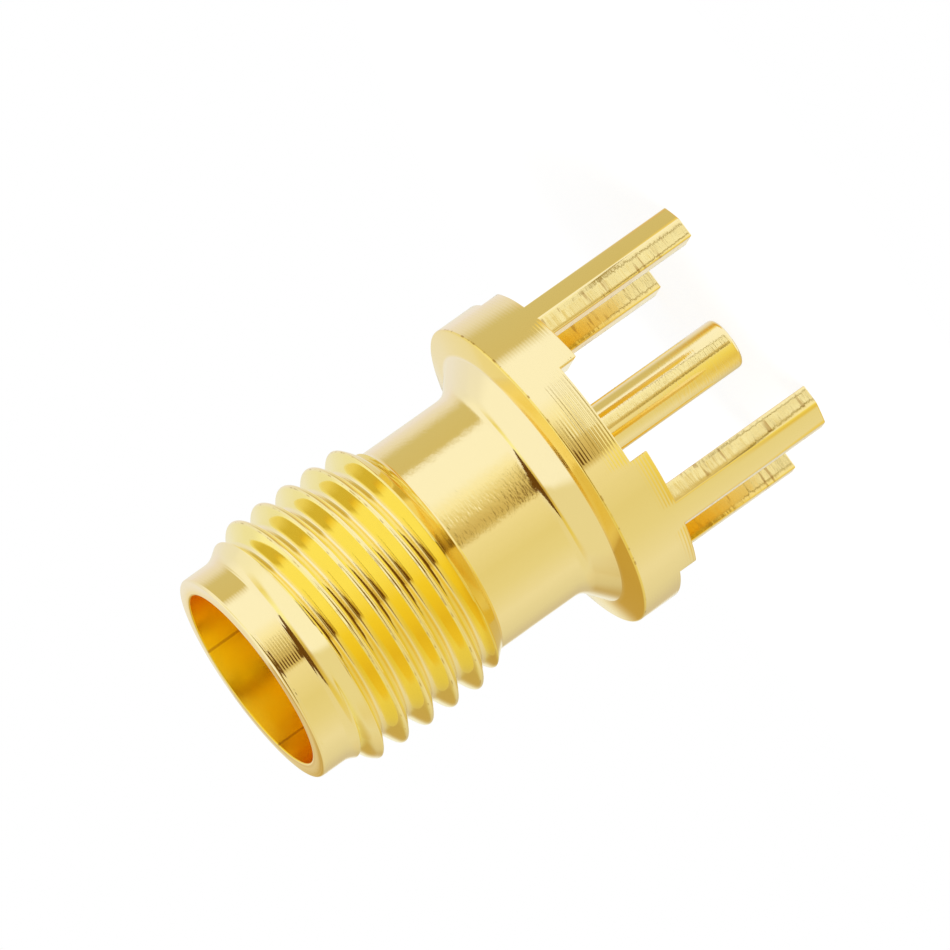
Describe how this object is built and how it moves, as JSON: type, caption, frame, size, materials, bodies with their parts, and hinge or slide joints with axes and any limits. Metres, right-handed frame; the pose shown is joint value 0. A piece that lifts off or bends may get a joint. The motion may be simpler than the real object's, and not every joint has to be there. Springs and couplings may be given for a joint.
{
  "type": "sma connector",
  "caption": "Board-mount coaxial jack: a threaded mouth for a screw-on plug, a round flange on raised pads, square ground legs and a solder pin.",
  "frame": {"origin": "on the connector's axis, in the plane of the pads that sit on the circuit board", "axes": "+Z along the axis out of the mouth that takes the plug; +X and +Y along the sides of the square of legs"},
  "size_m": [0.008, 0.008, 0.0136],
  "materials": {
    "gold_plated_brass": "turned and milled brass, bright gold plating with fine tool marks",
    "ptfe": "white PTFE, cut faces, slightly translucent",
    "gold_plated_contact": "bright gold plating on a drawn and slotted contact"
  },
  "bodies": {
    "root": {"body": "gold_plated_brass", "insulator": "ptfe", "center_contact": "gold_plated_contact"}
  },
  "joints": []
}
